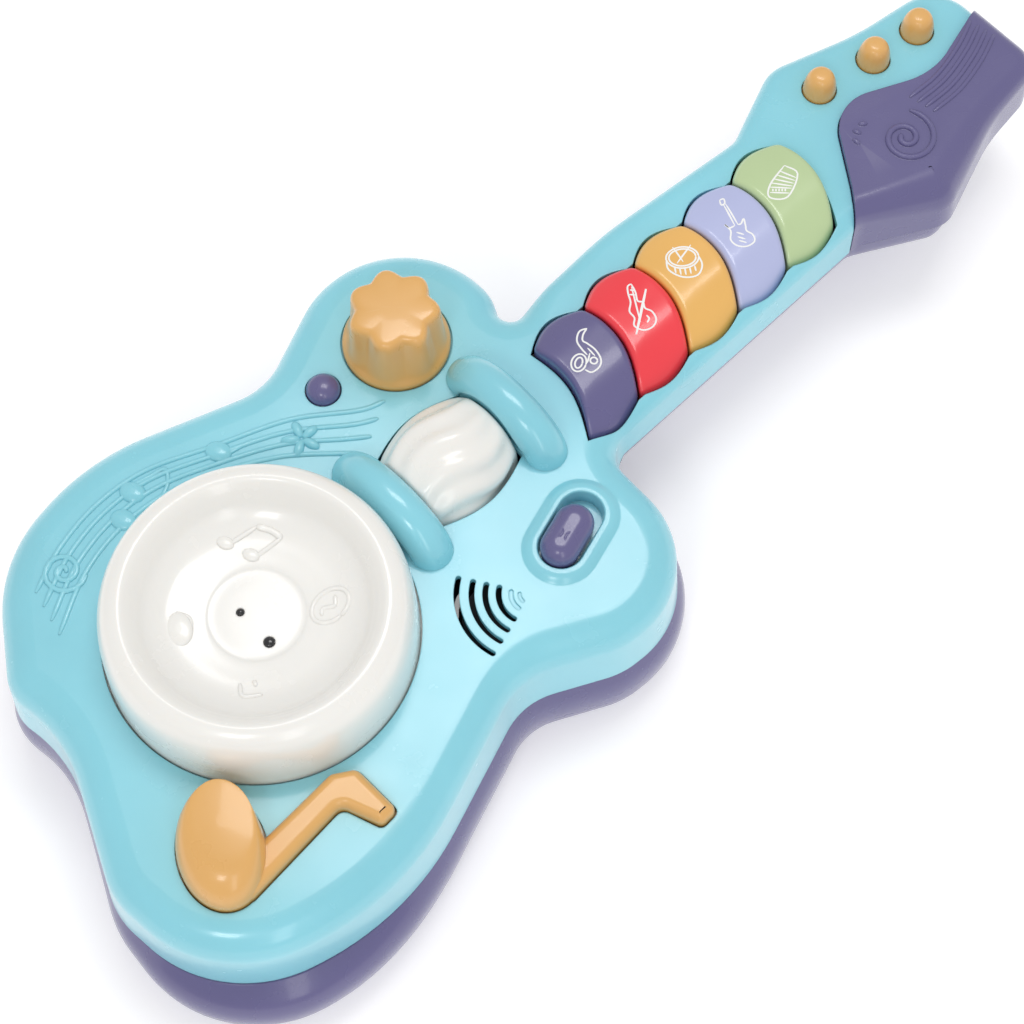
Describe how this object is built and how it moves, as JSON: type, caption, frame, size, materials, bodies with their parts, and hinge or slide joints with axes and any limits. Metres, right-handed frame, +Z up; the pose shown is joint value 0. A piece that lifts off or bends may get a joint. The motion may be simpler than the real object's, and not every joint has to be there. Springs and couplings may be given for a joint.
{
  "type": "toy electric guitar",
  "caption": "Child's toy electric guitar with press keys on the neck, a large drum pad, a turning knob, a fluted roller, a slide switch and peg buttons in a two-part moulded case.",
  "frame": {"origin": "middle of the footprint, on the plane that the underside rests on", "axes": "+Z up out of the playing face, +Y along the neck towards the headstock, +X to the player-side edge with the loudspeaker slots"},
  "size_m": [0.1686, 0.399, 0.077],
  "materials": {
    "aqua": "glossy moulded ABS, soft highlights",
    "slate": "glossy moulded ABS",
    "ivory": "glossy moulded ABS",
    "tan": "satin-gloss moulded ABS",
    "red": "glossy moulded ABS",
    "orange": "glossy moulded ABS",
    "lavender": "glossy moulded ABS",
    "green": "glossy moulded ABS",
    "black": "black moulded plastic",
    "steel": "zinc-plated steel",
    "board": "lacquered circuit board",
    "rubber": "moulded silicone",
    "cone": "pressed paper cone",
    "cell": "plain printed metal jacket"
  },
  "bodies": {
    "case": {"upper_shell": "aqua", "lower_shell": "slate", "headstock_cover": "slate", "roller_axle": "steel", "knob_encoder": "steel", "slide_switch": "black", "key_membrane": "rubber", "key_board": "board", "main_board": "board", "drum_switch": "black", "drum_light": "ivory", "note_switch": "black", "dome_switch": "black", "peg_board": "board", "peg_switch_1": "black", "peg_switch_2": "black", "peg_switch_3": "black", "speaker_frame": "black", "speaker_cone": "cone", "battery_1": "cell", "battery_2": "cell", "battery_3": "cell", "contact_front": "steel", "contact_back": "steel", "case_screw_1": "steel", "case_screw_2": "steel", "case_screw_3": "steel", "case_screw_4": "steel", "case_screw_5": "steel", "case_screw_6": "steel", "battery_cover": "slate", "battery_screw": "steel"},
    "drum": {"drum_pad": "ivory", "eye_left": "black", "eye_right": "black"},
    "key_slate": {"key_slate": "slate"},
    "key_red": {"key_red": "red"},
    "key_orange": {"key_orange": "orange"},
    "key_lavender": {"key_lavender": "lavender"},
    "key_green": {"key_green": "green"},
    "note": {"note_button": "tan"},
    "dome": {"dome_button": "slate"},
    "peg_1": {"peg_1": "tan"},
    "peg_2": {"peg_2": "tan"},
    "peg_3": {"peg_3": "tan"},
    "knob": {"knob": "tan"},
    "roller": {"roller": "ivory"},
    "slider": {"switch_slider": "slate"}
  },
  "joints": [
    {"name": "drum_press", "type": "slide", "parent": "case", "child": "drum", "axis": [0, 0, -1], "range_m": [0, 0.0018], "stiffness_N_per_m": 900, "springref_m": -0.0006},
    {"name": "key_slate_press", "type": "slide", "parent": "case", "child": "key_slate", "axis": [0, 0, -1], "range_m": [0, 0.002], "stiffness_N_per_m": 300, "springref_m": -0.0006},
    {"name": "key_red_press", "type": "slide", "parent": "case", "child": "key_red", "axis": [0, 0, -1], "range_m": [0, 0.002], "stiffness_N_per_m": 300, "springref_m": -0.0006},
    {"name": "key_orange_press", "type": "slide", "parent": "case", "child": "key_orange", "axis": [0, 0, -1], "range_m": [0, 0.002], "stiffness_N_per_m": 300, "springref_m": -0.0006},
    {"name": "key_lavender_press", "type": "slide", "parent": "case", "child": "key_lavender", "axis": [0, 0, -1], "range_m": [0, 0.002], "stiffness_N_per_m": 300, "springref_m": -0.0006},
    {"name": "key_green_press", "type": "slide", "parent": "case", "child": "key_green", "axis": [0, 0, -1], "range_m": [0, 0.002], "stiffness_N_per_m": 300, "springref_m": -0.0006},
    {"name": "note_press", "type": "slide", "parent": "case", "child": "note", "axis": [0, 0, -1], "range_m": [0, 0.0018], "stiffness_N_per_m": 300, "springref_m": -0.0006},
    {"name": "dome_press", "type": "slide", "parent": "case", "child": "dome", "axis": [0, 0, -1], "range_m": [0, 0.0016], "stiffness_N_per_m": 200, "springref_m": -0.0006},
    {"name": "peg_1_press", "type": "slide", "parent": "case", "child": "peg_1", "axis": [0, 0, -1], "range_m": [0, 0.0018], "stiffness_N_per_m": 200, "springref_m": -0.0006},
    {"name": "peg_2_press", "type": "slide", "parent": "case", "child": "peg_2", "axis": [0, 0, -1], "range_m": [0, 0.0018], "stiffness_N_per_m": 200, "springref_m": -0.0006},
    {"name": "peg_3_press", "type": "slide", "parent": "case", "child": "peg_3", "axis": [0, 0, -1], "range_m": [0, 0.0018], "stiffness_N_per_m": 200, "springref_m": -0.0006},
    {"name": "knob_turn", "type": "hinge", "parent": "case", "child": "knob", "pos_m": [-0.04626, -0.02121, 0.06], "axis": [0, 0, 1], "continuous": true},
    {"name": "roller_spin", "type": "hinge", "parent": "case", "child": "roller", "pos_m": [-0.00596, -0.03731, 0.049], "axis": [0, 1, 0], "continuous": true},
    {"name": "switch_slide", "type": "slide", "parent": "case", "child": "slider", "axis": [-0.2955, 0.9553, 0], "range_m": [0, 0.005]}
  ]
}
